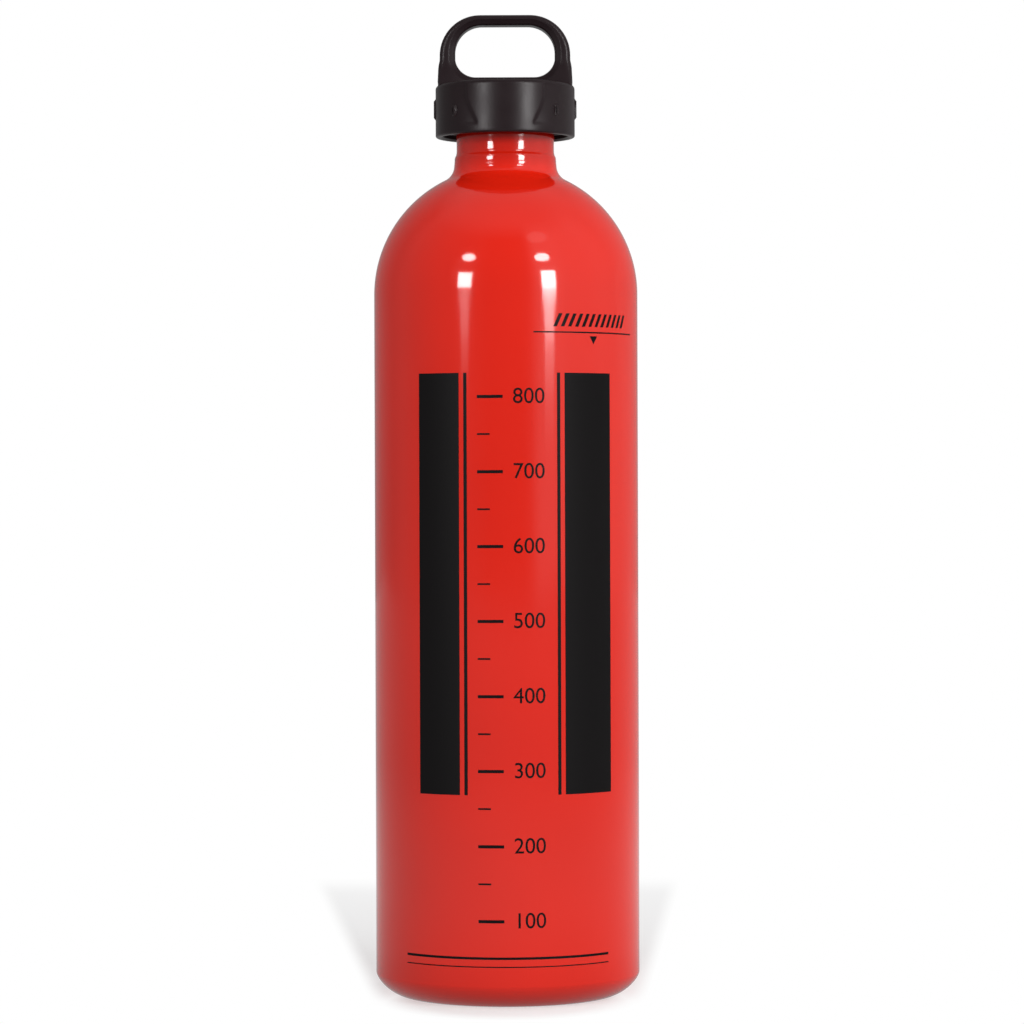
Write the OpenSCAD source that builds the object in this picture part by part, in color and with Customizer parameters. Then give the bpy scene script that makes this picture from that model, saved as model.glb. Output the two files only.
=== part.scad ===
// Camping fuel bottle with a push-and-turn cap and a carrying loop.
// Millimetres. The origin is the centre of the base on the ground, and +Z is up.
// The front faces -Y, and the carrying loop lies in the XZ plane.

/* [Body] */
// Outside diameter of the body
body_d = 78.5; // [76:0.5:82]
// Height of the straight wall above the ground
shoulder_z = 208.3; // [150:0.2:240]
// Body wall thickness
body_wall = 0.9; // [0.7:0.05:1.2]
// How much flatter than a full dome the shoulder is
shoulder_inset = 1.25; // [0.25:0.25:4]
// Radius of the outer edge of the base
base_edge_r = 8; // [6:0.5:10]
// Width of the ring that the bottle stands on
base_ring_w = 1.75; // [1:0.25:4]
// Depth of the hollow under the base
base_dish = 5; // [3:0.25:7]
// Thickness of the dished base
base_wall = 2; // [1.5:0.1:2.5]

/* [Neck] */
// Outside diameter of the neck
neck_d = 29; // [28.6:0.1:29.6]
// Neck wall outside the thread
neck_wall = 2.2; // [2:0.05:2.4]
// Height of the neck above its foot
neck_h = 16.2; // [15.8:0.2:20]
// Radius of the hollow fillet at the foot of the neck
neck_fillet = 5; // [3:0.25:6]
// How much wider the foot of the neck is, on the radius
neck_foot = 0.75; // [0.4:0.05:1.5]
// Height of the taper above the foot
neck_taper_h = 1.2; // [0.8:0.2:5]
// Rounding of the lip
lip_round = 0.3; // [0.1:0.05:0.3]

/* [Inner cap] */
// Depth of the thread between the plug and the neck
thread_depth = 1.2; // [1:0.05:1.3]
// Length of the threaded plug below the lip
plug_len = 14; // [10:0.5:15]
// Wall of the hollow plug
plug_wall = 1.8; // [1.4:0.1:3]
// Thickness of the flange that closes the mouth
flange_h = 2.4; // [2.1:0.1:3]
// Length of the rim that hangs round the neck
rim_h = 5; // [4:0.25:5.5]
// Wall of that rim
rim_wall = 1.4; // [1.1:0.1:1.8]
// Width of the two vent grooves down the plug
vent_w = 3; // [2:0.25:4]
// Depth of the vent grooves
vent_d = 0.9; // [0.5:0.1:1.1]
// Number of drive teeth on each cap
teeth = 12; // [12:12:24]
// Height of the drive teeth
tooth_h = 1; // [0.6:0.05:1.05]

/* [Seal and spring] */
// Section of the sealing ring
ring_d = 2; // [1.8:0.05:2.05]
// Height of the wave spring at rest
spring_h = 2.5; // [2.45:0.05:2.9]
// Thickness of the spring strip
spring_t = 0.3; // [0.2:0.05:0.4]
// Width of the spring strip
spring_w = 3; // [2:0.25:3.5]
// Number of waves in the spring
spring_waves = 3; // [3:1:4]

/* [Outer cap] */
// Outside diameter of the cap
cap_d = 41.5; // [41:0.25:43]
// Wall of the cap
cap_wall = 2; // [1.8:0.05:2.2]
// Thickness of the top of the cap
cap_top_h = 2.8; // [2:0.1:3.5]
// Height of the cap below its loop
cap_h = 15.6; // [14.8:0.2:16.6]
// Rounding of the top edge of the cap
cap_round = 1.6; // [0.6:0.1:2]
// Width of the panel grooves on the front and back
groove_w = 2.4; // [1.8:0.1:3.4]
// Depth of those grooves
groove_d = 0.7; // [0.4:0.1:1]

/* [Loop] */
// Width of the carrying loop
loop_w = 38.9; // [36:0.1:40]
// Height of the loop above the cap
loop_h = 20.8; // [19:0.2:26]
// Outer corner radius of the loop
loop_corner_r = 12; // [10:0.5:14]
// Thickness of the top bar
loop_bar = 3.1; // [2.5:0.1:4.5]
// Thickness of the two upright arms
loop_arm = 4.6; // [4:0.1:5.5]
// Depth of the loop from front to back
loop_depth = 8; // [6:0.5:10]
// How much wider the feet of the arms are, on each side
loop_flare = 0.6; // [0.3:0.1:0.8]
// Height of those feet above the cap
loop_foot_h = 6.6; // [5:0.2:8]
// Height of the web between the arms
web_h = 2.2; // [1.2:0.1:3]
// Bevel round the inside of the loop
loop_bevel = 0.9; // [0.4:0.1:1.3]

/* [Hidden] */
$fn = 96;
eps = 0.01;
fit_gap = 0.04;        // clearance between pieces that touch and turn
slip_gap = 0.1;        // clearance of the outer cap on the inner cap

body_r = body_d / 2;
inner_r = body_r - body_wall;
sh_r = body_r - shoulder_inset;
sh_in_r = sh_r - body_wall - 0.5;
base_flat_r = body_r - base_edge_r;
dish_rim_r = base_flat_r - base_ring_w;
dish_r = (dish_rim_r * dish_rim_r + base_dish * base_dish) / (2 * base_dish);
dish_z = base_dish - dish_r;
in_edge_r = base_edge_r - 1.4;

neck_r = neck_d / 2;
bore_r = neck_r - neck_wall;
foot_r = neck_r + neck_foot;
fil_r = foot_r + neck_fillet;
fil_dz = sqrt(pow(sh_r + neck_fillet, 2) - pow(fil_r - shoulder_inset, 2));
foot_z = shoulder_z + fil_dz;
fil_k = (sh_r - 0.5) / (sh_r + neck_fillet);
lip_z = foot_z + neck_h;

core_r = bore_r - thread_depth;
ring_r = ring_d / 2;
ring_cr = core_r + ring_r + fit_gap;
ring_z = lip_z - 0.2;
seat_r = ring_cr + sqrt(2) * (ring_r + fit_gap / 2) + 0.2;

flange_z = lip_z + flange_h;
ceil_z = flange_z + spring_h;
cap_z1 = ceil_z + cap_top_h;
cap_z0 = cap_z1 - cap_h;
cap_r = cap_d / 2;
cap_in_r = cap_r - cap_wall;
flange_r = cap_in_r - slip_gap;
rim_z = lip_z - rim_h;
bead_z1 = rim_z - fit_gap;
bead_h = 1.2;
bead_w = 0.6;

tooth_r1 = flange_r - 0.9;
tooth_r0 = tooth_r1 - 3;
tooth_a = 360 / teeth;
tooth_span = tooth_a * 0.42;
spring_r1 = tooth_r0 - 0.6;
spring_r0 = spring_r1 - spring_w;
boss_r = spring_r0 - 0.4;

loop_x = loop_w / 2;
loop_z1 = cap_z1 + loop_h;
foot_z1 = cap_z1 + loop_foot_h;
side_z1 = cap_z1 + loop_foot_h - 1.6;
open_x = loop_x - loop_arm;
open_z0 = cap_z1 + web_h;
open_z1 = loop_z1 - loop_bar;
open_top_r = loop_corner_r - 4;
open_low_r = 6;

// Colours of the preview
red = [0.84, 0.16, 0.12];
dark = [0.16, 0.15, 0.15];
grey = [0.26, 0.26, 0.28];
black = [0.07, 0.07, 0.07];
steel = [0.72, 0.72, 0.74];

// Bottle: outline of the outside, from the axis outwards
module bottle_outside() difference() {
    union() {
        translate([0, base_edge_r]) square([body_r, shoulder_z - base_edge_r]);
        square([base_flat_r, base_edge_r]);
        translate([base_flat_r, base_edge_r]) circle(base_edge_r);
        intersection() {
            translate([shoulder_inset, shoulder_z]) circle(sh_r);
            translate([0, shoulder_z - 1]) square([body_r, sh_r + 2]);
        }
        polygon([[0, shoulder_z], [shoulder_inset, shoulder_z],
            [shoulder_inset + fil_k * (fil_r - shoulder_inset), shoulder_z + fil_k * fil_dz],
            [fil_r, foot_z], [foot_r, foot_z], [neck_r, foot_z + neck_taper_h],
            [neck_r, lip_z - lip_round], [neck_r - lip_round, lip_z], [0, lip_z]]);
        translate([neck_r - lip_round, lip_z - lip_round]) circle(lip_round);
    }
    // hollow fillet between the shoulder and the neck
    translate([fil_r, foot_z]) circle(neck_fillet);
}

// Bottle: outline of the space inside
module bottle_inside() {
    difference() {
        union() {
            translate([0, base_edge_r]) square([inner_r, shoulder_z - base_edge_r]);
            translate([0, base_edge_r - in_edge_r]) square([inner_r - in_edge_r, in_edge_r + eps]);
            translate([inner_r - in_edge_r, base_edge_r]) circle(in_edge_r);
        }
        translate([0, dish_z]) circle(dish_r + base_wall);
    }
    intersection() {
        translate([inner_r - sh_in_r, shoulder_z]) circle(sh_in_r);
        translate([0, shoulder_z - eps]) square([body_r, sh_r + 1]);
    }
    translate([0, shoulder_z]) square([bore_r, lip_z - shoulder_z + 1]);
    // conical seat of the sealing ring
    polygon([[0, lip_z - (seat_r - bore_r)], [bore_r, lip_z - (seat_r - bore_r)],
        [seat_r + 1, lip_z + 1], [0, lip_z + 1]]);
}

module bottle() color(red) rotate_extrude() intersection() {
    translate([0, -1]) square([body_r + 5, lip_z + 5]);
    difference() {
        bottle_outside();
        bottle_inside();
        translate([0, dish_z]) circle(dish_r);
    }
}

// Drive teeth: a ring of short blocks
module tooth_ring(z, h, turn) {
    for (i = [0 : teeth - 1])
        rotate([0, 0, i * tooth_a + turn - tooth_span / 2])
            rotate_extrude(angle = tooth_span)
                translate([tooth_r0, z]) square([tooth_r1 - tooth_r0, h]);
}

// Inner cap: hollow threaded plug, flange, rim and drive teeth
module inner_cap() color(grey) {
    difference() {
        rotate_extrude() difference() {
            union() {
                translate([0, lip_z - 0.5]) square([core_r, 1]);
                translate([0, lip_z + fit_gap]) square([flange_r, flange_h - fit_gap]);
                translate([flange_r - rim_wall, rim_z]) square([rim_wall, rim_h + 1]);
                polygon([[core_r - plug_wall, lip_z - plug_len], [core_r - 0.8, lip_z - plug_len],
                    [core_r, lip_z - plug_len + 0.8], [core_r, lip_z], [core_r - plug_wall, lip_z]]);
            }
            // recess that holds the sealing ring
            translate([core_r, lip_z - 1])
                square([ring_d + 3 * fit_gap, 1 + ring_r - 0.2 + fit_gap]);
        }
        for (a = [0, 180]) rotate([0, 0, a])
            translate([core_r - vent_d, -vent_w / 2, lip_z - plug_len - 1])
                cube([vent_d + 2, vent_w, plug_len - 3]);
    }
    tooth_ring(flange_z - eps, tooth_h + eps, 0);
}

// Sealing ring between the plug, the flange and the conical seat
module sealing_ring() color(black)
    rotate_extrude() translate([ring_cr, ring_z]) circle(ring_r, $fn = 48);

// Wave spring: a strip whose height is a function of the angle
function wave(i, n) = (1 + cos(360 * spring_waves * i / n)) / 2;
module wave_spring() color(steel) {
    n = 96;
    lo = flange_z + fit_gap / 2;
    rise = spring_h - fit_gap - spring_t;
    pts = [for (i = [0 : n - 1], c = [[spring_r0, 0], [spring_r1, 0], [spring_r1, spring_t],
            [spring_r0, spring_t]])
        [c[0] * cos(360 * i / n), c[0] * sin(360 * i / n), lo + rise * wave(i, n) + c[1]]];
    faces = [for (i = [0 : n - 1], k = [0 : 3], h = [0, 1])
        let (a = 4 * i + k, b = 4 * i + (k + 1) % 4, j = 4 * ((i + 1) % n),
            c = j + (k + 1) % 4, d = j + k)
        h == 0 ? [a, c, b] : [a, d, c]];
    polyhedron(points = pts, faces = faces, convexity = 8);
}

// Outer cap: outline of the loop seen from the front, with wider feet on the arms
module loop_outline() difference() {
    x = loop_x;
    xf = loop_x + loop_flare;
    polygon([[-xf, cap_z1 - 1.5], [-xf, cap_z1], [0.2 - xf, foot_z1 - 0.5], [-x, foot_z1], [-x, loop_z1],
        [x, loop_z1], [x, foot_z1], [xf - 0.2, foot_z1 - 0.5], [xf, cap_z1], [xf, cap_z1 - 1.5]]);
    for (s = [-1, 1]) difference() {
        translate([s * (x + 1) - (s > 0 ? loop_corner_r + 1 : 0), loop_z1 - loop_corner_r])
            square([loop_corner_r + 1, loop_corner_r + 1]);
        translate([s * (x - loop_corner_r), loop_z1 - loop_corner_r]) circle(loop_corner_r);
    }
}

module loop_opening(grow) {
    x = open_x + grow;
    z1 = open_z1 + grow;
    rt = open_top_r + grow;
    hull() {
        for (s = [-1, 1]) {
            translate([s * (x - rt), z1 - rt]) circle(rt);
            translate([s * (x - open_low_r), open_z0 + open_low_r]) circle(open_low_r);
        }
    }
}

module bevel_arch(grow) {
    x = open_x + grow;
    z1 = open_z1 + grow;
    rt = open_top_r + grow;
    hull() {
        for (s = [-1, 1]) translate([s * (x - rt), z1 - rt]) circle(rt);
        translate([-x, side_z1]) square([2 * x, 0.1]);
    }
}

module loop_hoop() difference() {
    intersection() {
        rotate([90, 0, 0]) linear_extrude(height = 20, center = true) loop_outline();
        // side profile: the arms grow deeper towards the cap
        rotate([90, 0, 90]) linear_extrude(height = 60, center = true) union() {
            translate([-loop_depth / 2, cap_z1 - 2]) square([loop_depth, loop_h + 2 - 2]);
            for (s = [-1, 1]) translate([s * (loop_depth / 2 - 2), loop_z1 - 2]) circle(2);
            translate([-loop_depth / 2 + 2, loop_z1 - 3]) square([loop_depth - 4, 3]);
            polygon([[-loop_depth / 2 - 3.5, cap_z1 - 2], [loop_depth / 2 + 3.5, cap_z1 - 2],
                [loop_depth / 2 + 3.5, cap_z1], [loop_depth / 2, side_z1],
                [-loop_depth / 2, side_z1], [-loop_depth / 2 - 3.5, cap_z1]]);
        }
    }
    rotate([90, 0, 0]) linear_extrude(height = 30, center = true) loop_opening(0);
    // bevel round the inside on the front and back, above the feet
    for (s = [-1, 1]) hull() {
        translate([0, s * (loop_depth / 2 + eps), 0]) rotate([90, 0, 0])
            linear_extrude(height = eps, center = true) bevel_arch(loop_bevel);
        translate([0, s * (loop_depth / 2 - loop_bevel), 0]) rotate([90, 0, 0])
            linear_extrude(height = eps, center = true) bevel_arch(0);
    }
}

// Outer cap: bent grooves beside the front and back panels
module panel_groove(side) {
    x0 = side * 13.4;
    x1 = side * 8.6;
    w = side * groove_w;
    polygon([[x0, cap_z1 - 0.8], [x0 - w, cap_z1 - 0.8], [x0 - w, cap_z1 - 4.6],
        [x1 - w / 2, cap_z1 - 10.6], [x1 + w / 3, cap_z1 - 10.6], [x0, cap_z1 - 5.2]]);
}

module outer_cap() color(dark) {
    difference() {
        rotate_extrude() difference() {
            union() {
                translate([0, cap_z0 + 0.5]) square([cap_r, cap_h - 0.5 - cap_round]);
                translate([0, cap_z0]) square([cap_r - 0.5, cap_h - cap_round]);
                translate([0, cap_z1 - cap_round - eps]) square([cap_r - cap_round, cap_round + eps]);
                translate([cap_r - 0.5, cap_z0 + 0.5]) circle(0.5, $fn = 32);
                translate([cap_r - cap_round, cap_z1 - cap_round]) circle(cap_round, $fn = 48);
            }
            translate([0, bead_z1]) square([cap_in_r, ceil_z - bead_z1]);
            translate([0, cap_z0 - 1]) square([cap_in_r, bead_z1 - bead_h - cap_z0 + 1]);
            // snap bead that holds the inner cap in
            polygon([[0, bead_z1 + 1], [0, bead_z1 - bead_h - 1], [cap_in_r, bead_z1 - bead_h - eps],
                [cap_in_r - bead_w, bead_z1 - bead_w], [cap_in_r - bead_w, bead_z1 + 1]]);
        }
        for (a = [0, 180], s = [-1, 1]) rotate([0, 0, a]) difference() {
            rotate([90, 0, 0]) linear_extrude(height = cap_r + 2) panel_groove(s);
            translate([0, 0, cap_z0 - 1]) cylinder(r = cap_r - groove_d, h = cap_h + 2);
        }
    }
    loop_hoop();
    tooth_ring(ceil_z - tooth_h, tooth_h + eps, tooth_a / 2);
    // short collar that centres the spring
    rotate_extrude() translate([boss_r - 1, ceil_z - tooth_h]) square([1, tooth_h + eps]);
}

bottle();
inner_cap();
sealing_ring();
wave_spring();
outer_cap();
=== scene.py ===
import bpy, bmesh, math
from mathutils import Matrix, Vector


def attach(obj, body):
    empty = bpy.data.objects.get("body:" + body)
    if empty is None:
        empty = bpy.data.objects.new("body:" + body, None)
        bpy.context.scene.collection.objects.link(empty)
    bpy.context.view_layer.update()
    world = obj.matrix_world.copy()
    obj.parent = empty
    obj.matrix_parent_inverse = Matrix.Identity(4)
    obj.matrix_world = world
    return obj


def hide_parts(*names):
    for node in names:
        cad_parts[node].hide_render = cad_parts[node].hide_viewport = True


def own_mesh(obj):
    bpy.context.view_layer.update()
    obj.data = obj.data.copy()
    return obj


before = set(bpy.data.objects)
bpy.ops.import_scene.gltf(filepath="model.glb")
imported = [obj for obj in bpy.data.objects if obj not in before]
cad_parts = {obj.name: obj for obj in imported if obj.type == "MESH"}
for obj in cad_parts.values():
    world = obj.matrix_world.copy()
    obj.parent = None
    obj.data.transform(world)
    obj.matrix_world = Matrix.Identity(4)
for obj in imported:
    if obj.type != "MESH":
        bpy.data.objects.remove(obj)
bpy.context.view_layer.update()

MM = 0.001

# Sizes of the CAD model, in millimetres
BODY_R, WALL = 39.25, 0.9
SHOULDER_Z, SHOULDER_IN, SHOULDER_R, SHOULDER_IN_R = 208.3, 1.25, 38.0, 36.6
BASE_R, DISH, BASE_WALL, RING_W = 8.0, 5.0, 2.0, 1.75
NECK_R, BORE_R, FOOT_R, FILLET = 14.5, 12.3, 15.25, 5.0
FOOT_Z, LIP_Z, SEAT_R, LIP_ROUND = 246.875, 263.075, 13.783, 0.3
CORE_R, PITCH = 11.1, 3.0
CAP_R, CAP_IN, CAP_Z0, CAP_Z1, CEIL_Z = 20.75, 18.75, 255.175, 270.775, 267.975
BEAD_Z, BEAD_W = 258.035, 0.6
TEETH, TOOTH_H, TOOTH_R0, TOOTH_R1, TOOTH_SPAN = 12, 1.0, 14.75, 17.75, 12.6
COLLAR_R0, COLLAR_R1 = 9.75, 10.75
SPRING_H, SPRING_T, SPRING_R0, SPRING_R1, WAVES = 2.5, 0.3, 11.15, 14.15, 3
OPEN_X, OPEN_Z0, OPEN_Z1, OPEN_TOP_R, OPEN_LOW_R = 14.85, 272.975, 288.475, 8, 6
LOOP_X, LOOP_Z1, LOOP_R, LOOP_HALF, FOOT_Z1 = 19.45, 291.575, 12, 4.0, 277.375

# The photograph's camera: distance and height in metres, millimetres in one pixel at the bottle's axis,
# the picture's size in pixels and the pixel that the axis and the eye's height fall on
DIST, EYE_Z, MM_PER_PX = 1.150, 0.1501, 0.2985
PICTURE, AXIS_PX, HORIZON_PX = 1024, 506.4, 490


# ---------------------------------------------------------------- small helpers
def rgb(hex_value):
    """Turns an sRGB hex colour into the linear RGBA that a shader takes."""
    out = []
    for i in (0, 2, 4):
        c = int(hex_value[i:i + 2], 16) / 255
        out.append(c / 12.92 if c <= 0.04045 else ((c + 0.055) / 1.055) ** 2.4)
    return (*out, 1.0)


def deselect():
    if bpy.context.object and bpy.context.object.mode != "OBJECT":
        bpy.ops.object.mode_set(mode="OBJECT")
    bpy.ops.object.select_all(action="DESELECT")


def take(obj):
    """Makes obj the one selected, active object."""
    deselect()
    obj.select_set(True)
    bpy.context.view_layer.objects.active = obj
    return obj


def bake_place(obj):
    """Moves the object's place, turn and scale into its mesh."""
    take(obj)
    bpy.ops.object.transform_apply(location=True, rotation=True, scale=True)
    return obj


def smooth(obj, angle):
    """Shades smooth, apart from edges sharper than an angle in degrees."""
    take(obj)
    bpy.ops.object.shade_smooth_by_angle(angle=math.radians(angle))
    return obj


def clean(obj):
    """Merges points less than 0.002 mm apart and turns the faces outwards."""
    take(obj)
    bpy.ops.object.mode_set(mode="EDIT")
    bpy.ops.mesh.select_all(action="SELECT")
    bpy.ops.mesh.remove_doubles(threshold=0.000002)
    bpy.ops.mesh.normals_make_consistent(inside=False)
    bpy.ops.object.mode_set(mode="OBJECT")
    return obj


def modify(obj, kind, **settings):
    """Adds a modifier with its settings and applies it."""
    take(obj)
    m = obj.modifiers.new(kind.lower(), kind)
    for key, value in settings.items():
        setattr(m, key, value)
    bpy.ops.object.modifier_apply(modifier=m.name)
    return obj


def join(objs, name):
    deselect()
    for o in objs:
        o.select_set(True)
    bpy.context.view_layer.objects.active = objs[0]
    bpy.ops.object.join()
    objs[0].name = objs[0].data.name = name
    return objs[0]


def twin(obj, name):
    """A copy with its own mesh."""
    o = obj.copy()
    o.data = obj.data.copy()
    o.name = o.data.name = name
    bpy.context.collection.objects.link(o)
    return o


def arc(cx, cz, r, a0, a1, n):
    """Points on a circle in the (radius, height) plane, angles in degrees."""
    return [(cx + r * math.cos(math.radians(a0 + (a1 - a0) * i / n)),
             cz + r * math.sin(math.radians(a0 + (a1 - a0) * i / n))) for i in range(n + 1)]


def lathe(name, outline, steps, turn=360):
    """Turns an outline of (radius, height) points in mm round the Z axis with Spin."""
    deselect()
    bpy.ops.mesh.primitive_plane_add(size=0.01)
    obj = bpy.context.object
    obj.name = obj.data.name = name
    bpy.ops.object.mode_set(mode="EDIT")
    bpy.ops.mesh.select_all(action="SELECT")
    bpy.ops.mesh.merge(type="CENTER")
    here = Vector((outline[0][0] * MM, 0, outline[0][1] * MM))
    bpy.ops.transform.translate(value=here)
    for r, z in outline[1:]:
        there = Vector((r * MM, 0, z * MM))
        bpy.ops.mesh.extrude_region_move(TRANSFORM_OT_translate={"value": there - here})
        here = there
    bpy.ops.mesh.select_all(action="SELECT")
    if turn < 360:
        # a part of a turn has end faces
        bpy.ops.mesh.remove_doubles(threshold=1e-7)
        bpy.ops.mesh.edge_face_add()
        bpy.ops.mesh.select_all(action="SELECT")
    bpy.ops.mesh.spin(steps=steps, angle=math.radians(turn), center=(0, 0, 0), axis=(0, 0, 1))
    bpy.ops.object.mode_set(mode="OBJECT")
    return clean(obj)


def sweep(name, rings):
    """Extrudes a circle of edges through rings of points, in metres, and closes the last on the first."""
    deselect()
    bpy.ops.mesh.primitive_circle_add(vertices=len(rings[0]), radius=0.01, fill_type="NOTHING")
    obj = bpy.context.object
    obj.name = obj.data.name = name
    bpy.ops.object.mode_set(mode="EDIT")
    bm = bmesh.from_edit_mesh(obj.data)
    for v, co in zip(bm.verts, rings[0]):
        v.co = co
    bmesh.update_edit_mesh(obj.data)
    bpy.ops.mesh.select_all(action="SELECT")
    for ring in rings[1:]:
        bpy.ops.mesh.extrude_region_move()
        bm = bmesh.from_edit_mesh(obj.data)
        bm.verts.ensure_lookup_table()
        for v, co in zip(bm.verts[-len(ring):], ring):
            v.co = co
        bmesh.update_edit_mesh(obj.data)
    bm = bmesh.from_edit_mesh(obj.data)
    bpy.ops.mesh.select_all(action="DESELECT")
    bpy.ops.mesh.select_mode(type="EDGE")
    for e in bm.edges:
        if len(e.link_faces) == 1:
            e.select = True
    bmesh.update_edit_mesh(obj.data)
    bpy.ops.mesh.bridge_edge_loops()
    bpy.ops.mesh.select_mode(type="VERT")
    bpy.ops.object.mode_set(mode="OBJECT")
    return clean(obj)


def put(obj, body, material):
    """Gives a finished piece its material, its body and the slot of its finish."""
    obj.data.materials.clear()
    obj.data.materials.append(material)
    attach(obj, body)


# ---------------------------------------------------------------- materials
def node(tree, kind, settings=None, **links):
    """Adds a shader node, gives it its settings and links its inputs, by name or as i and a number."""
    n = tree.nodes.new(kind)
    for key, value in (settings or {}).items():
        if isinstance(key, str) and hasattr(n, key):
            setattr(n, key, value)
        else:
            n.inputs[key].default_value = value
    for key, source in links.items():
        by_number = key[0] == "i" and key[1:].isdigit()
        target = n.inputs[int(key[1:])] if by_number else n.inputs[key.replace("_", " ")]
        tree.links.new(source, target)
    return n


def grey_stops(ramp, stops):
    """Gives a ramp its stops of (position, level); the first two are those that it starts with."""
    for k, (position, level) in enumerate(stops):
        stop = ramp.elements[k] if k < 2 else ramp.elements.new(position)
        stop.position, stop.color = position, (level, level, level, 1)


def new_material(name, color, roughness, metallic=0.0, ior=1.5):
    """A material with its tree, its main shader and object coordinates in metres."""
    m = bpy.data.materials.new(name)
    m.use_nodes = True
    t = m.node_tree
    p = t.nodes["Principled BSDF"]
    p.inputs["Base Color"].default_value = rgb(color)
    p.inputs["Roughness"].default_value = roughness
    p.inputs["Metallic"].default_value = metallic
    if metallic == 0:
        p.inputs["IOR"].default_value = ior
    return m, t, p, node(t, "ShaderNodeTexCoord").outputs["Object"]


def red_lacquer():
    """Stoved epoxy lacquer on drawn aluminium: deep saturated red, glossy, with a faint orange peel."""
    m, t, p, v = new_material("red_stoved_lacquer", "E0200E", 0.42)
    # the clear top of the lacquer gives the sharp lights
    p.inputs["Coat Weight"].default_value = 1.0
    p.inputs["Coat Roughness"].default_value = 0.075
    p.inputs["Coat IOR"].default_value = 1.5
    p.inputs["Specular IOR Level"].default_value = 0.0
    # colour drifts a little over 60 mm, as sprayed lacquer does
    drift = node(t, "ShaderNodeTexNoise", {"Scale": 17.0, "Detail": 2.0}, Vector=v)
    tone = node(t, "ShaderNodeValToRGB", None, Fac=drift.outputs["Fac"])
    darker, lighter = tone.color_ramp.elements
    darker.position, darker.color = 0.3, rgb("DC1F0D")
    lighter.position, lighter.color = 0.7, rgb("E4220F")
    # painted shade: the base colour is darkened to 0.76 on the neck, where the cap shades it; the change runs from
    # 245 to 248.5 mm up
    height = node(t, "ShaderNodeSeparateXYZ", None, i0=v).outputs["Z"]
    neck = node(t, "ShaderNodeMapRange", {"From Min": 0.2450, "From Max": 0.2485,
                                          "To Min": 1.0, "To Max": 0.76}, Value=height)
    tone_with_painted_shade = node(t, "ShaderNodeVectorMath", {"operation": "SCALE"},
                i0=tone.outputs["Color"], Scale=neck.outputs["Result"])
    t.links.new(tone_with_painted_shade.outputs["Vector"], p.inputs["Base Color"])
    # orange peel with 2.5 mm waves
    peel = node(t, "ShaderNodeTexNoise", {"Scale": 400.0, "Detail": 1.0}, Vector=v)
    bump = node(t, "ShaderNodeBump", {"Strength": 0.05, "Distance": 0.00002}, Height=peel.outputs["Fac"])
    t.links.new(bump.outputs["Normal"], p.inputs["Normal"])
    t.links.new(bump.outputs["Normal"], p.inputs["Coat Normal"])
    return m


def bare_aluminium():
    """Drawn aluminium inside the bottle: dull silver with fine rings left by the tool."""
    m, t, p, v = new_material("drawn_aluminium", "C9CACC", 0.38, metallic=1.0)
    # rings 0.8 mm apart along the axis
    rings = node(t, "ShaderNodeTexWave", {"wave_type": "BANDS", "bands_direction": "Z", "Scale": 400.0,
                                          "Distortion": 0.6}, Vector=v)
    bump = node(t, "ShaderNodeBump", {"Strength": 0.15, "Distance": 0.00005}, Height=rings.outputs["Fac"])
    t.links.new(bump.outputs["Normal"], p.inputs["Normal"])
    return m


def black_ink():
    """Screen-printed epoxy ink: black, a little duller than the lacquer below it."""
    m, t, p, v = new_material("screen_ink_black", "0A0708", 0.50)
    p.inputs["Specular IOR Level"].default_value = 0.1
    # the mesh of the print screen, 0.5 mm, leaves the gloss uneven
    screen = node(t, "ShaderNodeTexNoise", {"Scale": 2000.0, "Detail": 1.0}, Vector=v)
    gloss = node(t, "ShaderNodeMapRange", {"To Min": 0.44, "To Max": 0.56}, Value=screen.outputs["Fac"])
    t.links.new(gloss.outputs["Result"], p.inputs["Roughness"])
    return m


def moulded_nylon(name, color, rough, grain, shine):
    """Glass-filled nylon moulding: charcoal, satin, with a fine spark-eroded grain."""
    m, t, p, v = new_material(name, color, rough, ior=1.53)
    p.inputs["Specular IOR Level"].default_value = shine
    # clouds 8 mm across: darker and lighter fill, and polish left by handling
    cloud = node(t, "ShaderNodeTexNoise", {"Scale": 125.0, "Detail": 4.0}, Vector=v)
    polish = node(t, "ShaderNodeMapRange", {"To Min": rough - 0.07, "To Max": rough + 0.08},
                  Value=cloud.outputs["Fac"])
    t.links.new(polish.outputs["Result"], p.inputs["Roughness"])
    tone = node(t, "ShaderNodeMix", {"data_type": "RGBA"}, Factor=cloud.outputs["Fac"])
    tone.inputs[6].default_value = tuple(c * 0.86 for c in rgb(color)[:3]) + (1.0,)
    tone.inputs[7].default_value = tuple(c * 1.14 for c in rgb(color)[:3]) + (1.0,)
    t.links.new(tone.outputs[2], p.inputs["Base Color"])
    # grain drawn at 0.45 mm, coarser than the real 0.1 mm so that it shows
    fine = node(t, "ShaderNodeTexNoise", {"Scale": 2200.0, "Detail": 2.0, "Roughness": 0.6}, Vector=v)
    bump = node(t, "ShaderNodeBump", {"Strength": grain, "Distance": 0.00004}, Height=fine.outputs["Fac"])
    t.links.new(bump.outputs["Normal"], p.inputs["Normal"])
    return m


def nitrile_rubber():
    """Moulded nitrile rubber: soft black with a low sheen and a 0.3 mm grain."""
    m, t, p, v = new_material("moulded_nitrile", "17181A", 0.55)
    fine = node(t, "ShaderNodeTexNoise", {"Scale": 3000.0, "Detail": 2.0}, Vector=v)
    bump = node(t, "ShaderNodeBump", {"Strength": 0.1, "Distance": 0.00003}, Height=fine.outputs["Fac"])
    t.links.new(bump.outputs["Normal"], p.inputs["Normal"])
    return m


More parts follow.
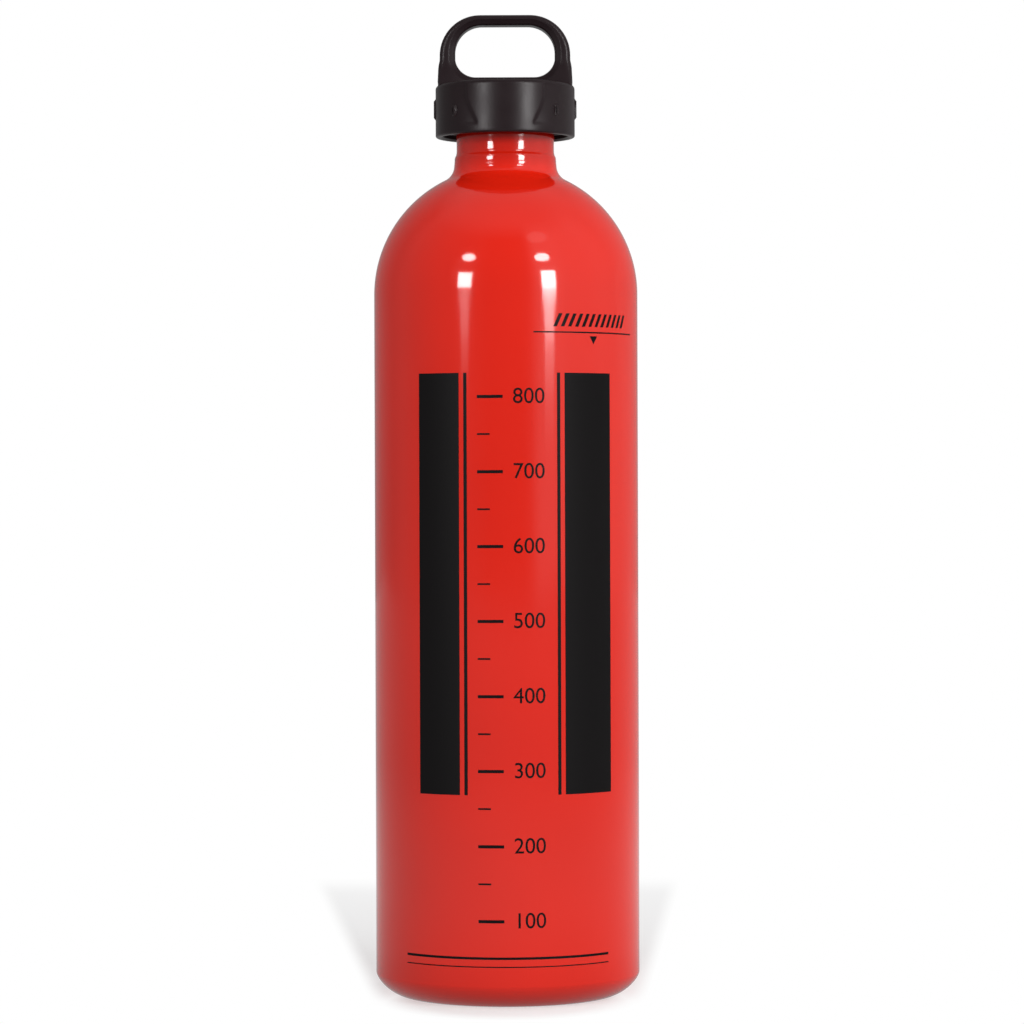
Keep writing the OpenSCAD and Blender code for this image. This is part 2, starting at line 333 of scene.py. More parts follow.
def spring_steel():
    """Rolled stainless spring strip: bright, with a fine 0.25 mm unevenness left by the rolls."""
    m, t, p, v = new_material("rolled_spring_steel", "B9BABD", 0.24, metallic=1.0)
    fine = node(t, "ShaderNodeTexNoise", {"Scale": 4000.0, "Detail": 1.0}, Vector=v)
    bump = node(t, "ShaderNodeBump", {"Strength": 0.08, "Distance": 0.00002}, Height=fine.outputs["Fac"])
    t.links.new(bump.outputs["Normal"], p.inputs["Normal"])
    return m


RED, ALUMINIUM, INK = red_lacquer(), bare_aluminium(), black_ink()
CAP_BLACK = moulded_nylon("moulded_nylon_cap", "1F1417", 0.34, 0.22, 0.18)
PLUG_GREY = moulded_nylon("moulded_nylon_plug", "2C2B2E", 0.38, 0.15, 0.4)
RUBBER, STEEL = nitrile_rubber(), spring_steel()

for name, finish in (("inner_cap", PLUG_GREY), ("sealing_ring", RUBBER), ("wave_spring", STEEL),
                     ("outer_cap", CAP_BLACK), ("bottle", RED)):
    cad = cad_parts[name]
    cad.data.materials.clear()
    cad.data.materials.append(finish)


# ---------------------------------------------------------------- bottle shell
def bottle_shell():
    """Drawn shell: the outline runs from the middle of the base up the outside, over the lip and down the inside."""
    flat_r = BODY_R - BASE_R
    rim_r = flat_r - RING_W
    dish_r = (rim_r ** 2 + DISH ** 2) / (2 * DISH)
    dish_z = DISH - dish_r
    dish_a = math.degrees(math.asin(rim_r / dish_r))
    in_r, in_edge = BODY_R - WALL, BASE_R - 1.4
    in_x = in_r - SHOULDER_IN_R
    foot_x = FOOT_R + FILLET
    join_a = math.degrees(math.atan2(FOOT_Z - SHOULDER_Z, foot_x - SHOULDER_IN))

    # base
    out = arc(0, dish_z, dish_r, 90, 90 - dish_a, 14)
    out[0] = (0, DISH)
    # the corner of the base is cut back a little more than a quarter circle, as the photo's outline shows
    corner_h, cut_back = 6.8, 1.32
    for i in range(13):
        a = math.radians(7.5 * i)
        out.append((flat_r + BASE_R * math.sin(a) ** cut_back, corner_h - corner_h * math.cos(a) ** cut_back))
    # body, shoulder and the fillet up to the neck
    out += [(BODY_R, z) for z in range(16, 208, 16)]
    out += arc(SHOULDER_IN, SHOULDER_Z, SHOULDER_R, 0, join_a, 36)
    out += arc(foot_x, FOOT_Z, FILLET, 180 + join_a, 180, 12)[1:]
    # the wide foot of the neck stands upright for 2 mm and then steps in to the straight neck
    out += [(15.19, FOOT_Z + 0.4), (15.15, FOOT_Z + 0.9), (15.12, FOOT_Z + 1.4), (15.1, FOOT_Z + 1.9),
            (15.05, 249.1), (14.95, 249.35), (14.84, 249.6), (14.73, 249.85), (14.63, 250.15),
            (14.56, 250.5), (14.52, 250.9), (NECK_R, 251.4), (NECK_R, 253.0)]
    # it flares by 0.13 mm where it goes under the cap
    out += [(14.53, 253.6), (14.58, 254.4), (14.63, 255.2), (14.63, 256.0), (NECK_R, 256.4)]
    # lip, seat of the sealing ring and bore
    out += arc(NECK_R - LIP_ROUND, LIP_Z - LIP_ROUND, LIP_ROUND, 0, 90, 4)
    out += [(SEAT_R, LIP_Z), (BORE_R, LIP_Z - (SEAT_R - BORE_R)), (BORE_R, 250.0), (BORE_R, 244.2)]
    # inside of the shoulder, the body and the base
    top_a = math.degrees(math.acos((BORE_R + 0.6 - in_x) / SHOULDER_IN_R))
    out += arc(in_x, SHOULDER_Z, SHOULDER_IN_R, top_a, 0, 30)
    out += [(in_r, z) for z in range(192, 14, -16)]
    floor_r = dish_r + BASE_WALL
    out += [p for p in arc(in_r - in_edge, BASE_R, in_edge, 0, -90, 10)
            if math.hypot(p[0], p[1] - dish_z) > floor_r]
    meet = math.degrees(math.asin(32.0 / floor_r))
    out += arc(0, dish_z, floor_r, 90 - meet, 90, 12)[:-1] + [(0, dish_z + floor_r)]

    shell = lathe("bottle_shell", out, 256)
    shell.data.materials.clear()
    shell.data.materials.append(RED)
    shell.data.materials.append(ALUMINIUM)
    # bare metal on the bore and its seat, and on faces of the body that look towards the space inside
    bore_z = 244
    for f in shell.data.polygons:
        c, n = f.center / MM, f.normal
        r = math.hypot(c.x, c.y)
        if c.z > bore_z:
            bare = r < SEAT_R
        else:
            within = math.hypot(r - in_x, max(0, c.z - SHOULDER_Z)) < SHOULDER_IN_R + 0.05
            under = c.z < 7.2 and n.z < 0
            bare = within and not under and (-(c.x * n.x + c.y * n.y) > 1e-6 or (n.z > 0.5 and c.z < 60))
        f.material_index = 1 if bare else 0
    smooth(shell, 40)
    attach(shell, "bottle")
    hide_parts("bottle")


bottle_shell()


# ---------------------------------------------------------------- threads
def thread(name, r_root, r_crest, z0, turns, body, material):
    """A trapezoid ridge wound as a right-handed helix with the Screw modifier, run out at both ends."""
    sunk = 0.15
    base = r_root + (sunk if r_crest < r_root else -sunk)
    pts = [(base, -0.95), (r_crest, -0.35), (r_crest, 0.35), (base, 0.95)]
    deselect()
    bpy.ops.mesh.primitive_plane_add(size=0.001)
    o = bpy.context.object
    o.name = o.data.name = name
    for v, k in zip(o.data.vertices, (0, 1, 3, 2)):
        v.co = (pts[k][0] * MM, 0, (z0 + pts[k][1]) * MM)
    steps = int(96 * turns)
    modify(o, "SCREW", axis="Z", angle=math.tau * turns, screw_offset=PITCH * turns * MM,
           steps=steps, render_steps=steps, use_merge_vertices=False)
    clean(o)
    # the ridge runs out over the first and last sixth of a turn
    for v in o.data.vertices:
        x, y, z = v.co / MM
        r = math.hypot(x, y)
        a = math.atan2(y, x) % math.tau
        # height along the helix gives the turn that this vertex belongs to
        k = round((z - z0) / PITCH - a / math.tau)
        t = a / math.tau + k
        fade = max(0.0, min(1.0, t * 6, (turns - t) * 6))
        rr = base + (r - base) * (0.12 + 0.88 * fade)
        v.co = (x / r * rr * MM, y / r * rr * MM, z * MM)
    smooth(o, 50)
    put(o, body, material)


THREAD_Z = LIP_Z - 12.6
thread("neck_thread", BORE_R, CORE_R + 0.15, THREAD_Z, 2.9, "bottle", ALUMINIUM)
thread("plug_thread", CORE_R, BORE_R - 0.12, THREAD_Z + PITCH / 2, 2.6, "inner_cap", PLUG_GREY)


# ---------------------------------------------------------------- outer cap
def ease(t):
    """0 below 0, 1 above 1 and smooth between them."""
    t = max(0.0, min(1.0, t))
    return t * t * (3 - 2 * t)


def cap_skirt():
    """Skirt and top of the cap, with the snap bead inside and raised panels on its front and back."""
    top, edge, hem, proud = CAP_Z1, 1.3, 0.6, 0.34
    out = [(0.001, top), (9, top), (16, top)] + arc(CAP_R - edge, top - edge, edge, 90, 0, 8)
    # rows 0.4 mm apart, for the step of the panels
    z = top - 1.6
    while z > CAP_Z0 + 1.0:
        out.append((CAP_R, z))
        z -= 0.4
    out += arc(CAP_R - hem, CAP_Z0 + hem, hem, 0, -90, 5)
    out += [(CAP_IN + 0.55, CAP_Z0), (CAP_IN, CAP_Z0 + 0.55),
            (CAP_IN, BEAD_Z - 2 * BEAD_W), (CAP_IN - BEAD_W, BEAD_Z - BEAD_W), (CAP_IN - BEAD_W, BEAD_Z),
            (CAP_IN, BEAD_Z + 0.01), (CAP_IN, CEIL_Z - 0.4), (CAP_IN - 0.4, CEIL_Z), (0.001, CEIL_Z)]
    skirt = lathe("cap_skirt", out, 320)
    # the panels end on a bent line on each side; past it the wall steps in and comes out again by degrees
    bend = [(8.5, top - 12.6), (10.4, top - 8.4), (11.6, top - 5.2), (11.7, top - 1.4)]
    for v in skirt.data.vertices:
        x, y, z = v.co / MM
        r = math.hypot(x, y)
        if r > CAP_R - 1.5 and CAP_Z0 + 1.2 < z < top - 0.2:
            line_x = bend[-1][0] if z > bend[-1][1] else bend[0][0]
            for (x0, z0), (x1, z1) in zip(bend, bend[1:]):
                if z0 <= z <= z1:
                    line_x = x0 + (x1 - x0) * (z - z0) / (z1 - z0)
            past = CAP_R * (math.asin(min(1, abs(x) / r)) - math.asin(line_x / CAP_R))
            ends = ease((top - 0.3 - z) / 1.2) * ease((z - bend[0][1] + 1.0) / 1.4)
            dip = proud * ends * ease((past + 0.5) / 1.0) * (1 - ease((past - 0.6) / 6.5))
            v.co.x -= x / r * dip * MM
            v.co.y -= y / r * dip * MM
    return skirt


def round_corner(cx, cz, r, a0, n):
    """Stations on a quarter of a circle: point and outward direction."""
    out = []
    for i in range(n + 1):
        a = math.radians(a0 + 90 * i / n)
        out.append(((cx + r * math.cos(a), cz + r * math.sin(a)), (math.cos(a), math.sin(a))))
    return out


def side_run(a, b, direction, n):
    """Stations on a straight side, without its ends."""
    return [((a[0] + (b[0] - a[0]) * i / n, a[1] + (b[1] - a[1]) * i / n), direction) for i in range(1, n)]


def cap_loop():
    """Carrying loop: one closed ring round the opening, whose arms widen and run into the skirt."""
    xt, zt = OPEN_X - OPEN_TOP_R, OPEN_Z1 - OPEN_TOP_R
    xl, zl = OPEN_X - OPEN_LOW_R, OPEN_Z0 + OPEN_LOW_R
    stations = (round_corner(xt, zt, OPEN_TOP_R, 0, 16) + side_run((xt, OPEN_Z1), (-xt, OPEN_Z1), (0, 1), 12)
                + round_corner(-xt, zt, OPEN_TOP_R, 90, 16) + side_run((-OPEN_X, zt), (-OPEN_X, zl), (-1, 0), 3)
                + round_corner(-xl, zl, OPEN_LOW_R, 180, 16) + side_run((-xl, OPEN_Z0), (xl, OPEN_Z0), (0, -1), 14)
                + round_corner(xl, zl, OPEN_LOW_R, 270, 16) + side_run((OPEN_X, zl), (OPEN_X, zt), (1, 0), 3))
    # outline of the loop from outside, with the wider feet of the arms, down to where the skirt hides it
    hidden_z = 269.4
    foot = [(LOOP_X, FOOT_Z1 + 1.0), (LOOP_X + 0.05, FOOT_Z1 + 0.4), (LOOP_X + 0.28, FOOT_Z1 - 0.5),
            (LOOP_X + 0.42, FOOT_Z1 - 1.4), (LOOP_X + 0.6, 271.5), (LOOP_X + 0.65, hidden_z)]
    corner = arc(LOOP_X - LOOP_R, LOOP_Z1 - LOOP_R, LOOP_R, 90, 0, 24)
    half = [(0, LOOP_Z1)] + corner + foot + [(0, hidden_z)]
    outline = half + [(-x, z) for x, z in reversed(half[1:-1])]
    outline.append(outline[0])

    def reach(p, d):
        """How far the outline is from p along d."""
        best = 60.0
        for (ax, az), (bx, bz) in zip(outline, outline[1:]):
            ex, ez = bx - ax, bz - az
            det = d[0] * ez - d[1] * ex
            if abs(det) > 1e-9:
                t = ((ax - p[0]) * ez - (az - p[1]) * ex) / det
                u = ((ax - p[0]) * d[1] - (az - p[1]) * d[0]) / det
                if t > 0.01 and -1e-6 <= u <= 1 + 1e-6:
                    best = min(best, t)
        return best

    def half_depth(x, z):
        """Half the loop's thickness from front to back; it grows down the feet, most at the sides."""
        if z >= FOOT_Z1 + 0.6:
            return LOOP_HALF
        down = min(1, (FOOT_Z1 + 0.6 - z) / (FOOT_Z1 + 0.6 - 270.0))
        side = max(0, min(1, (abs(x) - 9) / 6))
        return LOOP_HALF + (1.0 + 2.4 * side) * down ** 1.5

    inside_skirt_r = 20.62
    rings = []
    for p, d in stations:
        length = reach(p, d)
        side = []
        # (distance from the opening, inset from the side face), None on the middle plane
        for a, inset in ((0, None), (0, 1.5), (0.08, 1.1), (0.3, 0.78), (0.5, 0.62), (1.6, 0.2), (1.75, 0.05),
                         (1.9, 0.0), (length - 1.35, 0.0), (length - 1.0, 0.07), (length - 0.62, 0.27),
                         (length - 0.28, 0.62), (length - 0.06, 1.15), (length, 1.7), (length, None)):
            x, z = p[0] + d[0] * a, p[1] + d[1] * a
            y = 0.0 if inset is None else half_depth(x, z) - inset
            r = math.hypot(x, y)
            if r > inside_skirt_r:
                x, y = x * inside_skirt_r / r, y * inside_skirt_r / r
            side.append((x, y, z))
        ring = [Vector((x, -y, z)) * MM for x, y, z in side]
        ring += [Vector((x, y, z)) * MM for x, y, z in reversed(side[1:-1])]
        rings.append(ring)
    return sweep("cap_loop", rings)


def outer_cap():
    """Skirt, loop, drive teeth and the collar round the spring, in one moulding."""
    parts = [cap_skirt(), cap_loop()]
    # the teeth and the collar start 0.2 mm inside the top
    z0, z1 = CEIL_Z - TOOTH_H, CEIL_Z + 0.2
    block = [(TOOTH_R0, z0), (TOOTH_R1, z0), (TOOTH_R1, z1), (TOOTH_R0, z1), (TOOTH_R0, z0)]
    tooth = lathe("cap_tooth", block, 4, TOOTH_SPAN)
    # Spin runs clockwise, so the tooth turns back by half its span, to stand halfway between two inner teeth
    tooth.rotation_euler = (0, 0, math.radians(15 + TOOTH_SPAN / 2))
    bake_place(tooth)
    for i in range(TEETH):
        t = twin(tooth, "cap_tooth_%d" % i)
        t.rotation_euler = (0, 0, math.radians(30 * i))
        parts.append(bake_place(t))
    bpy.data.objects.remove(tooth)
    parts.append(lathe("cap_collar", [(COLLAR_R0, z1), (COLLAR_R0, z0), (COLLAR_R1, z0), (COLLAR_R1, z1)], 96))
    cap = join(parts, "outer_cap_fine")
    smooth(cap, 38)
    put(cap, "outer_cap", CAP_BLACK)
    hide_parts("outer_cap")


outer_cap()


# ---------------------------------------------------------------- wave spring
def wave_washer():
    """Spring strip in three waves, with its edges rolled round; on the real cap it flattens as the cap is pushed."""
    low, rise, roll = CEIL_Z - SPRING_H + 0.02, 2.16, 0.08
    cut = [(SPRING_R0, roll), (SPRING_R0 + roll, 0), (SPRING_R1 - roll, 0), (SPRING_R1, roll),
           (SPRING_R1, SPRING_T - roll), (SPRING_R1 - roll, SPRING_T),
           (SPRING_R0 + roll, SPRING_T), (SPRING_R0, SPRING_T - roll)]
    rings = []
    for i in range(180):
        a = math.radians(2 * i)
        z = low + rise * (1 + math.cos(WAVES * a)) / 2
        rings.append([Vector((r * math.cos(a), r * math.sin(a), z + dz)) * MM for r, dz in cut])
    w = smooth(sweep("wave_spring_fine", rings), 40)
    put(w, "spring", STEEL)
    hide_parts("wave_spring")
    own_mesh(w)


wave_washer()


# ---------------------------------------------------------------- flat pieces wrapped round the bottle
def wrap(obj, radius):
    """Bends a flat piece that faces -Y round the bottle's axis: x becomes length round the cylinder."""
    for v in obj.data.vertices:
        a = v.co.x / radius
        depth = radius - v.co.y
        v.co.x, v.co.y = depth * math.sin(a), -depth * math.cos(a)


def flat_polygon(name, pts):
    """A flat face in the XZ plane, facing the front, from points in mm."""
    deselect()
    bpy.ops.mesh.primitive_circle_add(vertices=len(pts), radius=0.01, fill_type="NGON")
    o = bpy.context.object
    o.name = o.data.name = name
    for v, (x, z) in zip(o.data.vertices, pts):
        v.co = (x * MM, 0, z * MM)
    return clean(o)


def slice_up(obj, step, x0, x1):
    """Cuts a flat piece into strips so that it can bend."""
    take(obj)
    bpy.ops.object.mode_set(mode="EDIT")
    x = x0
    while x < x1:
        bpy.ops.mesh.select_all(action="SELECT")
        bpy.ops.mesh.bisect(plane_co=(x * MM, 0, 0), plane_no=(1, 0, 0))
        x += step
    bpy.ops.object.mode_set(mode="OBJECT")


def cap_marks():
    """Raised grip arrows round the skirt: they point the way to turn and stand 0.55 mm proud."""
    arrow = ((-1.5, -3.6), (1.1, -3.6), (1.9, 0), (1.1, 3.6), (-1.5, 3.6), (-0.7, 0))
    large, small = (1, 263.6), (0.55, 262.0)
    marks = []
    for i, (at, (size, z)) in enumerate(((-90, large), (-46, small), (46, small), (90, large),
                                         (134, small), (226, small))):
        o = flat_polygon("cap_mark_%d" % i, [(x * size, z + dz * size) for x, dz in arrow])
        slice_up(o, 0.6, -1.2, 1.8)
        take(o)
        bpy.ops.object.mode_set(mode="EDIT")
        bpy.ops.mesh.select_all(action="SELECT")
        bpy.ops.mesh.extrude_region_move(TRANSFORM_OT_translate={"value": (0, -0.0009, 0)})
        bpy.ops.transform.resize(value=(0.66, 1, 0.66), center_override=(0.0003, 0, z * MM))
        # its foot goes 0.35 mm into the skirt
        bpy.ops.mesh.select_all(action="SELECT")
        bpy.ops.transform.translate(value=(0, 0.00035, 0))
        bpy.ops.object.mode_set(mode="OBJECT")
        clean(o)
        wrap(o, CAP_R * MM)
        o.rotation_euler = (0, 0, math.radians(at))
        bake_place(o)
        modify(o, "BEVEL", width=0.00018, segments=2, limit_method="ANGLE", angle_limit=math.radians(35))
        marks.append(o)
    m = join(marks, "cap_grip_marks")
    smooth(m, 40)
    put(m, "outer_cap", CAP_BLACK)


cap_marks()


def text_flat(body, size, x, z):
    """Plain numerals as a flat mesh facing the front, centred on x, z."""
    deselect()
    bpy.ops.object.text_add()
    o = bpy.context.object
    o.data.body, o.data.size = body, size * MM
    o.data.align_x, o.data.align_y = "CENTER", "CENTER"
    bpy.ops.object.convert(target="MESH")
    o = bpy.context.object
    o.rotation_euler = (math.radians(90), 0, 0)
    o.location = (x * MM, 0, z * MM)
    return bake_place(o)


def bar(x0, x1, z0, z1):
    return flat_polygon("bar", [(x0, z0), (x1, z0), (x1, z1), (x0, z1)])


def body_print():
    """Generic print: two bold bands, a level scale with plain numerals, a fill line and pin lines."""
    # bold bands and thin lines beside the scale
    band_z0, band_z1 = 62.0, 184.0
    flats = [bar(x0, x1, band_z0, band_z1) for x0, x1 in ((-27.5, -14.0), (-12.6, -11.6),
                                                          (17.5, 34.5), (15.1, 16.1))]
    # full marks 0.9 mm thick with their numerals, and half marks 0.5 mm thick below them
    tick_x, half_step = -8.5, 10.82
    for value, z in ((800, 177.1), (700, 155.4), (600, 133.8), (500, 112.2),
                     (400, 90.5), (300, 68.9), (200, 47.2), (100, 25.6)):
        flats.append(bar(tick_x, -1.0, z - 0.45, z + 0.45))
        if value > 100:
            flats.append(bar(tick_x, -4.8, z - half_step - 0.25, z - half_step + 0.25))
        flats.append(text_flat(str(value), 6.4, 6.6, z))
    # fill line with its pointer, and a hatched band above it
    flats.append(bar(8.0, 47.0, 195.55, 195.95))
    flats.append(flat_polygon("pointer", [(26.3, 194.7), (27.7, 192.4), (29.1, 194.7)]))
    for i in range(12):
        x = 14.0 + 2.35 * i
        flats.append(flat_polygon("hatch", [(x, 197.4), (x + 1.1, 197.4), (x + 2.9, 201.2), (x + 1.8, 201.2)]))
    # pin lines near the base
    flats.append(bar(-33.0, 33.0, 14.6, 15.3))
    flats.append(bar(-33.0, 33.0, 12.3, 12.6))
    ink = join(flats, "body_print")
    slice_up(ink, 1.3, -33.2, 47.2)
    # 0.03 mm of ink that starts 0.02 mm off the lacquer, so that the two don't flicker
    wrap(ink, (BODY_R + 0.02) * MM)
    modify(ink, "SOLIDIFY", thickness=0.00003, offset=1.0)
    smooth(ink, 30)
    put(ink, "bottle", INK)


body_print()


# ---------------------------------------------------------------- floor
scene = bpy.context.scene
scene.view_settings.view_transform = "Standard"


def white_paper():
    """Uncoated white paper: dull and even. A painted shadow mask lets its lit shade show near the object and behind
    it, and plain white further off.
    """
    m = bpy.data.materials.new("white_paper_floor")
    m.use_nodes = True
    t = m.node_tree
    paper = t.nodes["Principled BSDF"]
    paper.inputs["Base Color"].default_value = rgb("F6F6F6")
    paper.inputs["Roughness"].default_value = 0.9
    paper.inputs["Specular IOR Level"].default_value = 0.0
    place = node(t, "ShaderNodeTexCoord").outputs["Object"]
    away = node(t, "ShaderNodeVectorMath", {"operation": "LENGTH"}, i0=place)
    # painted contact shadow close under the foot, set 12 mm to the front and a fifth narrower to the sides than in
    # depth
    under = node(t, "ShaderNodeVectorMath", {"operation": "MULTIPLY_ADD", 1: (1.25, 1, 1), 2: (0, 0.012, 0)},
                 i0=place)
    near = node(t, "ShaderNodeVectorMath", {"operation": "LENGTH"}, i0=under.outputs["Vector"])
    painted_contact_shade = node(t, "ShaderNodeMapRange", {"interpolation_type": "SMOOTHSTEP", "From Min": 0.034,
                                           "From Max": 0.050, "To Min": 0.5, "To Max": 0.0},
                 Value=near.outputs["Value"])
    # painted shadow: a wedge behind the object that opens by 0.088 m a metre on each side, turns a little to the
    # left, and ends 0.345 m back
    spot = node(t, "ShaderNodeSeparateXYZ", None, i0=place)
    off = node(t, "ShaderNodeMath", {"operation": "MULTIPLY_ADD", 1: 0.0122},
               i0=spot.outputs["Y"], i2=spot.outputs["X"])
    side = node(t, "ShaderNodeMath", {"operation": "ABSOLUTE"}, i0=off.outputs[0])
    wide = node(t, "ShaderNodeMath", {"operation": "MULTIPLY_ADD", 1: -0.0877},
                i0=spot.outputs["Y"], i2=side.outputs[0])
    painted_shadow_wedge = node(t, "ShaderNodeMapRange", {"interpolation_type": "SMOOTHSTEP", "From Min": 0.0357,
                                           "From Max": 0.0427, "To Min": 1.0, "To Max": 0.0},
                 Value=wide.outputs[0])
    # strength of the painted shadow from front to back, on a ramp that starts 0.05 m in front of the axis
    depth = node(t, "ShaderNodeMath", {"operation": "ADD", 1: 0.05}, i0=spot.outputs["Y"])
    back = node(t, "ShaderNodeValToRGB", None, Fac=depth.outputs[0])
    grey_stops(back.color_ramp, ((0.020, 0), (0.395, 0), (0.027, 0.06), (0.050, 0.34), (0.073, 0.50),
                                 (0.097, 0.55), (0.123, 0.57), (0.177, 0.52), (0.236, 0.47),
                                 (0.300, 0.38), (0.335, 0.32), (0.357, 0.19), (0.372, 0.08)))
    fall = node(t, "ShaderNodeMath", {"operation": "MULTIPLY"}, i0=painted_shadow_wedge.outputs["Result"], i1=back.outputs["Color"])
    dark = node(t, "ShaderNodeMath", {"operation": "MAXIMUM"}, i0=painted_contact_shade.outputs["Result"], i1=fall.outputs[0])
    glow = node(t, "ShaderNodeEmission", {"Color": (1, 1, 1, 1), "Strength": 1.0})
    by_eye = node(t, "ShaderNodeMixShader", None, i0=dark.outputs[0], i1=glow.outputs[0], i2=paper.outputs[0])
    # the floor glows for the object instead of being lit: a painted bounce at 0.30 for dull surfaces, and for the
    # gloss a painted reflection, pale, with painted shade close by and dimmer far off
    glossy_floor_glow = node(t, "ShaderNodeValToRGB", None, Fac=away.outputs["Value"])
    grey_stops(glossy_floor_glow.color_ramp, ((0.05, 0.42), (1.0, 0.46), (0.12, 0.54), (0.30, 0.66), (0.45, 0.66)))
    ray = node(t, "ShaderNodeLightPath")
    level = node(t, "ShaderNodeMix", {2: 0.30}, i0=ray.outputs["Is Glossy Ray"], i3=glossy_floor_glow.outputs["Color"])
    by_object = node(t, "ShaderNodeEmission", {"Color": (1, 1, 1, 1)}, Strength=level.outputs[0])
    both = node(t, "ShaderNodeMixShader", None, i0=ray.outputs["Is Camera Ray"],
                i1=by_object.outputs[0], i2=by_eye.outputs[0])
    t.links.new(both.outputs[0], t.nodes["Material Output"].inputs["Surface"])
    return m


deselect()
bpy.ops.mesh.primitive_plane_add(size=8.0)
FLOOR = bpy.context.object
FLOOR.name = "studio_floor"
FLOOR.data.materials.append(white_paper())


# ---------------------------------------------------------------- studio round the object
def studio_world():
    """The room: walls that the gloss sees, soft light for the dull surfaces, and white for the camera."""
    world = bpy.data.worlds.new("studio")
    scene.world = world
    world.use_nodes = True
    t = world.node_tree
    t.nodes.clear()
    way = node(t, "ShaderNodeSeparateXYZ", None, i0=node(t, "ShaderNodeTexCoord").outputs["Generated"])
    ahead = node(t, "ShaderNodeMath", {"operation": "MULTIPLY", 1: -1.0}, i0=way.outputs["Y"])
    turn = node(t, "ShaderNodeMath", {"operation": "ARCTAN2"}, i0=way.outputs["X"], i1=ahead.outputs[0])
    # azimuth: 0 is behind the object on the left side, 0.5 on the camera's side, 1 behind on the right
    around = node(t, "ShaderNodeMapRange", {"From Min": -math.pi, "From Max": math.pi}, Value=turn.outputs[0])
    # what the gloss sees: a dim room in front and on the left, a pale wall from 25 degrees on the right,
    # and a grey ceiling; the stops are (azimuth in degrees, level)
    walls = node(t, "ShaderNodeValToRGB", None, Fac=around.outputs["Result"])
    stops = ((-180, 0.34), (-148, 0.31), (-130, 0.28), (-118, 0.26), (-100, 0.38), (-81, 0.36), (-60, 0.32),
             (-28, 0.26), (-14, 0.19), (13, 0.20), (18, 0.26), (22, 0.38), (26, 0.66), (30, 0.88), (50, 0.93),
             (60, 0.82), (90, 0.74), (113, 0.48), (150, 0.36), (180, 0.36))
    grey_stops(walls.color_ramp, [((az + 180) / 360, level) for az, level in stops])
    up = node(t, "ShaderNodeMapRange", {"From Min": 0.74, "From Max": 0.90}, Value=way.outputs["Z"])
    room = node(t, "ShaderNodeMix", {"data_type": "RGBA"}, i0=up.outputs["Result"], i6=walls.outputs["Color"])
    room.inputs[7].default_value = (0.54, 0.54, 0.54, 1)
    gloss = node(t, "ShaderNodeBackground", {"Strength": 1.0}, Color=room.outputs[2])
    # what lights the dull surfaces: more from the right than from the left, and less from above
    fill = node(t, "ShaderNodeMapRange", {"From Min": -1.0, "From Max": 1.0, "To Min": 0.49, "To Max": 1.33},
                Value=way.outputs["X"])
    low = node(t, "ShaderNodeMapRange", {"From Min": 0.1, "From Max": 1.0, "To Min": 1.0, "To Max": 0.2},
               Value=way.outputs["Z"])
    soft = node(t, "ShaderNodeBackground", None, Color=fill.outputs["Result"], Strength=low.outputs["Result"])
    white = node(t, "ShaderNodeBackground", {"Color": (1, 1, 1, 1), "Strength": 1.0})
    ray = node(t, "ShaderNodeLightPath")
    seen = node(t, "ShaderNodeMath", {"operation": "MAXIMUM"},
                i0=ray.outputs["Is Camera Ray"], i1=ray.outputs["Is Transmission Ray"])
    by_object = node(t, "ShaderNodeMixShader", None, i0=ray.outputs["Is Glossy Ray"],
                     i1=soft.outputs[0], i2=gloss.outputs[0])
    by_eye = node(t, "ShaderNodeMixShader", None, i0=seen.outputs[0], i1=by_object.outputs[0], i2=white.outputs[0])
    node(t, "ShaderNodeOutputWorld", None, Surface=by_eye.outputs[0])


studio_world()

LAMP_DISTANCE, LAMP_AIM = 1.25, Vector((0, 0, 0.15))


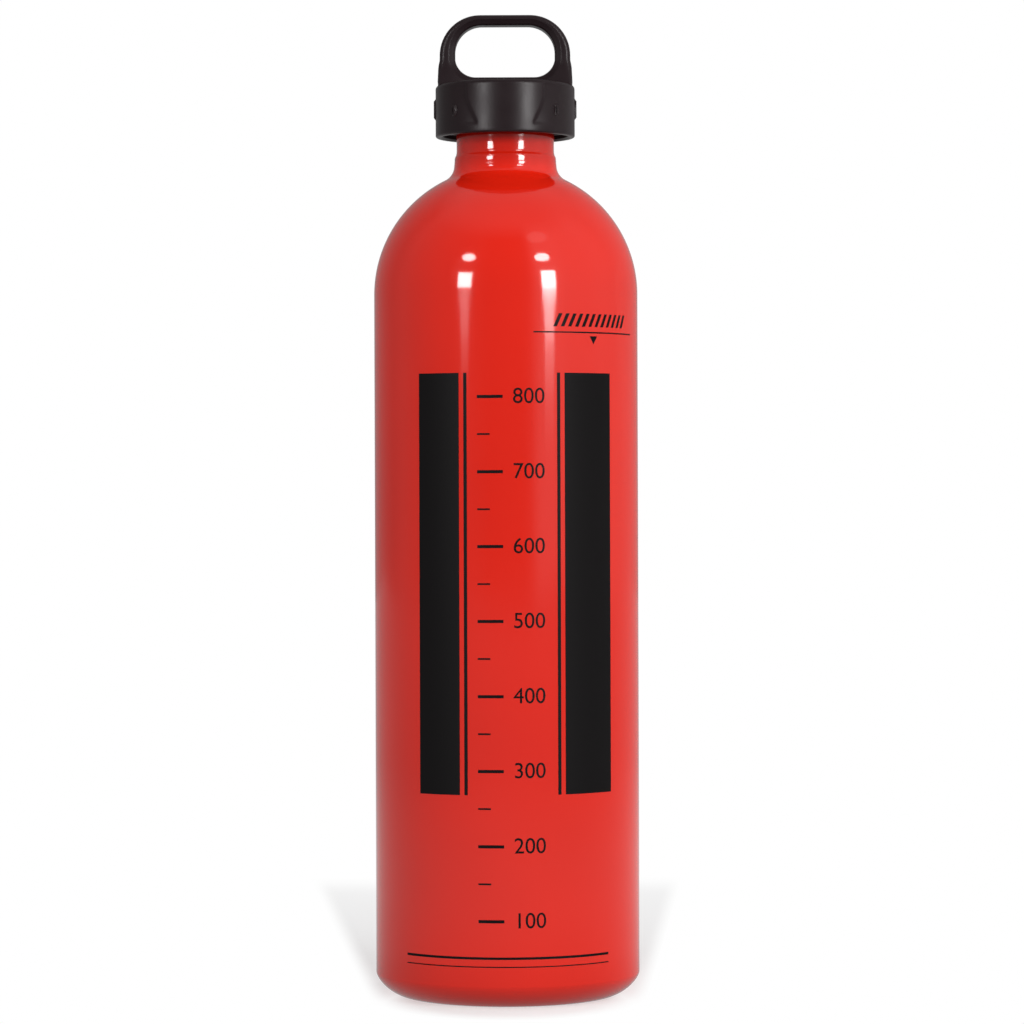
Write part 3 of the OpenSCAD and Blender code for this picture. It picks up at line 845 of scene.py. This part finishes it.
def softbox(name, azimuth, elevation, width, height, watts, shape="RECTANGLE"):
    """A flat studio light that faces the object; azimuth 0 is the camera's side, positive to the right."""
    a, e = math.radians(azimuth), math.radians(elevation)
    towards = Vector((math.sin(a) * math.cos(e), -math.cos(a) * math.cos(e), math.sin(e)))
    at = towards * LAMP_DISTANCE + LAMP_AIM
    light = bpy.data.lights.new(name, "AREA")
    light.shape = shape
    light.size, light.size_y = width, height
    light.energy = watts
    o = bpy.data.objects.new(name, light)
    bpy.context.collection.objects.link(o)
    o.location = at
    o.rotation_euler = (LAMP_AIM - at).to_track_quat("-Z", "Y").to_euler()
    return o


# keys that light the colours: name, azimuth, elevation, width, height, watts
for key in (("key_right", 37, 20, 0.40, 0.40, 6.6),
            ("key_left", -37, 20, 0.40, 0.40, 4.0),
            ("side_right", 118, 8, 0.40, 0.40, 4.8)):
    lamp = softbox(*key)
    lamp.visible_diffuse, lamp.visible_glossy = True, False

# soft boxes that show only as highlights: the main pair, the small pair above, and the tails below
for box in (("box_right", 37.5, 13.3, 0.27, 0.31, 7.2),
            ("box_left", -35.5, 13.0, 0.26, 0.26, 5.2),
            ("small_right", 34.5, 31.7, 0.27, 0.15, 2.1, "ELLIPSE"),
            ("small_left", -34.8, 31.7, 0.24, 0.14, 1.7, "ELLIPSE"),
            ("edge_right", 37.5, 5.2, 0.18, 0.040, 0.17),
            ("edge_left", -35.5, 5.4, 0.16, 0.040, 0.045),
            ("tail_right", 37.5, 3.7, 0.18, 0.036, 0.030),
            ("tail_left", -35.5, 4.0, 0.14, 0.030, 0.012),
            ("fade_right", 37.5, 2.3, 0.18, 0.030, 0.007),
            ("faint_right", 36, 49, 0.34, 0.22, 0.10, "ELLIPSE")):
    lamp = softbox(*box)
    lamp.visible_diffuse, lamp.visible_glossy = False, True

cam_data = bpy.data.cameras.new("photo_view")
cam = bpy.data.objects.new("photo_view", cam_data)
bpy.context.collection.objects.link(cam)
scene.camera = cam
cam.location = (0.0, -DIST, EYE_Z)
# level, and rolled by 0.19 degrees as the photograph is
cam.rotation_euler = (math.radians(90), math.radians(0.19), 0)
cam_data.sensor_width = 36
cam_data.lens = 36 * DIST / (PICTURE * MM_PER_PX * MM)
cam_data.shift_x = (PICTURE / 2 - AXIS_PX) / PICTURE
cam_data.shift_y = (HORIZON_PX - PICTURE / 2) / PICTURE
cam_data.clip_start, cam_data.clip_end = 0.05, 20
